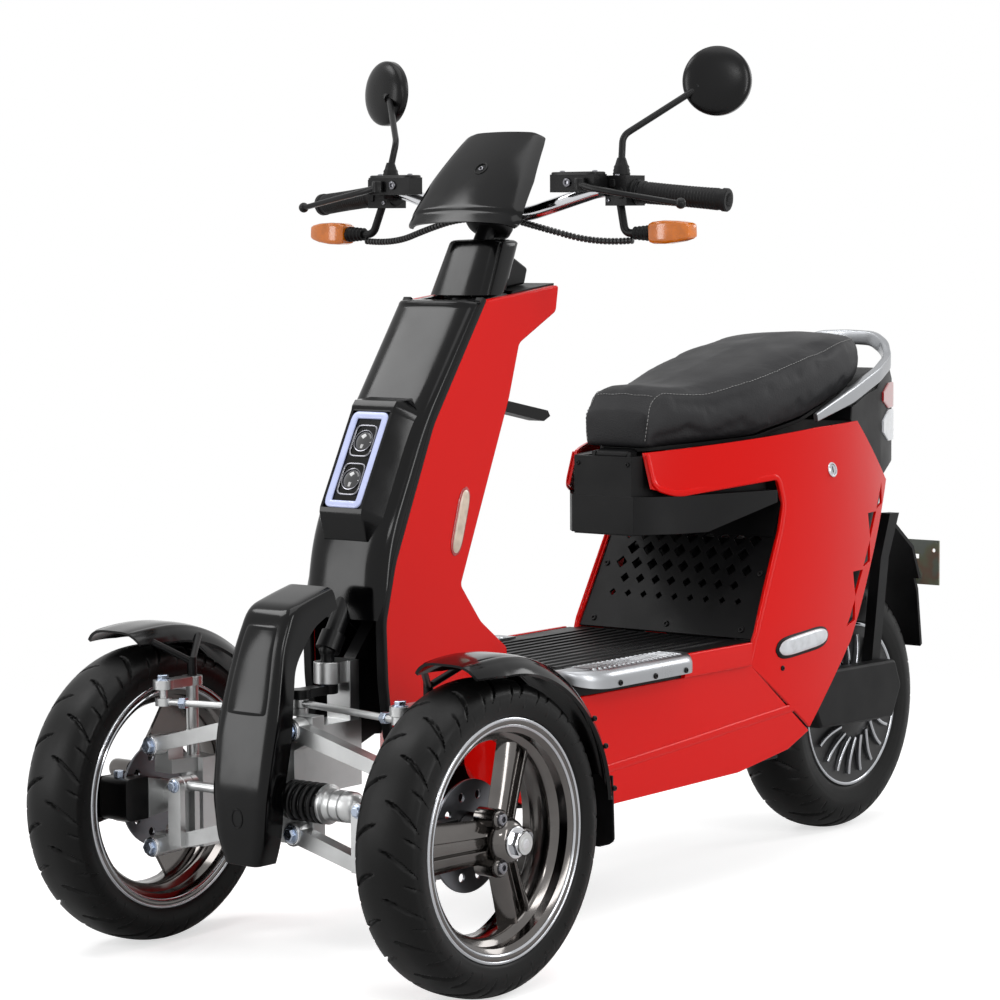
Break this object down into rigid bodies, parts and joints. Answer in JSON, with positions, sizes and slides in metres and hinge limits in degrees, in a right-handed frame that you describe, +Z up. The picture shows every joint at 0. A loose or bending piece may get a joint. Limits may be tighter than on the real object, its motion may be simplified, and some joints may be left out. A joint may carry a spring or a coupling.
{
  "type": "three-wheel electric scooter",
  "caption": "Electric scooter with steered leaning front wheels on a parallel linkage, a hub-motor rear wheel, leg shield, flat footboard, handlebar, grab rail and a seat that hinges up.",
  "frame": {"origin": "on the road, under the middle of the overall length and width", "axes": "+X forward, +Y to the rider's left, +Z up"},
  "size_m": [1.828, 0.783, 1.3067],
  "materials": {
    "black_gloss": "gloss black moulded plastic",
    "black_matte": "grained black plastic",
    "red_gloss": "gloss red lacquer",
    "tyre": "black tyre rubber",
    "rim_dark": "dark bright-finish cast wheel",
    "alloy": "cast aluminium, satin",
    "steel_black": "black powder-coated steel",
    "disc_steel": "ground disc steel",
    "chrome": "bright plated tube",
    "rubber": "black rubber",
    "amber": "amber lens",
    "lamp_lens": "clear lamp optics",
    "tail_red": "red lens",
    "seat_vinyl": "charcoal grained vinyl",
    "zinc": "passivated zinc plate"
  },
  "bodies": {
    "chassis": {"main_frame": "steel_black", "front_tower": "alloy", "uprights": "alloy", "leaning_arms": "alloy", "front_damper": "alloy", "front_coil": "steel_black", "nose_cover": "black_gloss", "column_cover": "black_gloss", "column_neck": "black_gloss", "leg_shield": "black_matte", "leg_panels": "red_gloss", "headlamp_housing": "black_gloss", "headlamp_lenses": "lamp_lens", "floorboard": "black_matte", "foot_treads": "alloy", "belly_pan": "black_matte", "sill_panels": "red_gloss", "side_panels": "red_gloss", "underseat_grille": "black_matte", "seat_front_trim": "black_matte", "seat_bucket": "black_matte", "battery_block": "black_matte", "tail_fairing": "black_gloss", "tail_lamp": "tail_red", "grab_rail": "alloy", "swingarm": "steel_black", "swingarm_covers": "black_matte", "rear_dampers": "steel_black", "rear_guard": "black_matte", "plate_holder": "zinc"},
    "steering": {"steering_stem": "steel_black", "handlebar": "chrome", "grips": "rubber", "control_pods": "black_matte", "brake_levers": "steel_black", "front_signals": "amber", "mirrors": "black_gloss", "dash_cowl": "black_gloss", "wiring_looms": "rubber"},
    "pitman": {"pitman_crank": "steel_black"},
    "left_tie_rod": {"left_tie_rod": "alloy"},
    "right_tie_rod": {"right_tie_rod": "alloy"},
    "left_knuckle": {"left_knuckle": "alloy", "left_caliper": "steel_black", "left_fender": "black_gloss"},
    "left_front_wheel": {"left_front_tyre": "tyre", "left_front_rim": "rim_dark", "left_brake_disc": "disc_steel"},
    "right_knuckle": {"right_knuckle": "alloy", "right_caliper": "steel_black", "right_fender": "black_gloss"},
    "right_front_wheel": {"right_front_tyre": "tyre", "right_front_rim": "rim_dark", "right_brake_disc": "disc_steel"},
    "rear_wheel": {"rear_tyre": "tyre", "rear_hub_motor": "rim_dark"},
    "seat": {"seat_pad": "seat_vinyl", "seat_base": "black_matte"}
  },
  "joints": [
    {"name": "steering_turn", "type": "hinge", "parent": "chassis", "child": "steering", "pos_m": [0.46096, 0, 0.75], "axis": [-0.5299, 0, 0.848], "range_deg": [-30, 30]},
    {"name": "pitman_turn", "type": "hinge", "parent": "chassis", "child": "pitman", "pos_m": [0.651, 0, 0.41], "axis": [0, 0, 1], "range_deg": [-30, 30]},
    {"name": "left_knuckle_turn", "type": "hinge", "parent": "chassis", "child": "left_knuckle", "pos_m": [0.696, 0.222, 0.218], "axis": [0, 0, 1], "range_deg": [-30, 30]},
    {"name": "left_tie_rod_swing", "type": "hinge", "parent": "pitman", "child": "left_tie_rod", "pos_m": [0.711, 0, 0.3775], "axis": [0, 0, 1], "range_deg": [-30, 30]},
    {"name": "left_front_wheel_spin", "type": "hinge", "parent": "left_knuckle", "child": "left_front_wheel", "pos_m": [0.696, 0.31, 0.218], "axis": [0, 1, 0], "continuous": true},
    {"name": "right_knuckle_turn", "type": "hinge", "parent": "chassis", "child": "right_knuckle", "pos_m": [0.696, -0.222, 0.218], "axis": [0, 0, 1], "range_deg": [-30, 30]},
    {"name": "right_tie_rod_swing", "type": "hinge", "parent": "pitman", "child": "right_tie_rod", "pos_m": [0.711, 0, 0.3655], "axis": [0, 0, 1], "range_deg": [-30, 30]},
    {"name": "right_front_wheel_spin", "type": "hinge", "parent": "right_knuckle", "child": "right_front_wheel", "pos_m": [0.696, -0.31, 0.218], "axis": [0, 1, 0], "continuous": true},
    {"name": "rear_wheel_spin", "type": "hinge", "parent": "chassis", "child": "rear_wheel", "pos_m": [-0.666, 0, 0.218], "axis": [0, 1, 0], "continuous": true},
    {"name": "seat_hinge", "type": "hinge", "parent": "chassis", "child": "seat", "pos_m": [-0.042, 0, 0.684], "axis": [0, 1, 0], "range_deg": [0, 70]}
  ],
  "couplings": [
    {"joint": "pitman_turn", "follows": "steering_turn", "ratio": 1},
    {"joint": "left_knuckle_turn", "follows": "steering_turn", "ratio": 1},
    {"joint": "right_knuckle_turn", "follows": "steering_turn", "ratio": 1},
    {"joint": "left_tie_rod_swing", "follows": "steering_turn", "ratio": -1},
    {"joint": "right_tie_rod_swing", "follows": "steering_turn", "ratio": -1}
  ]
}
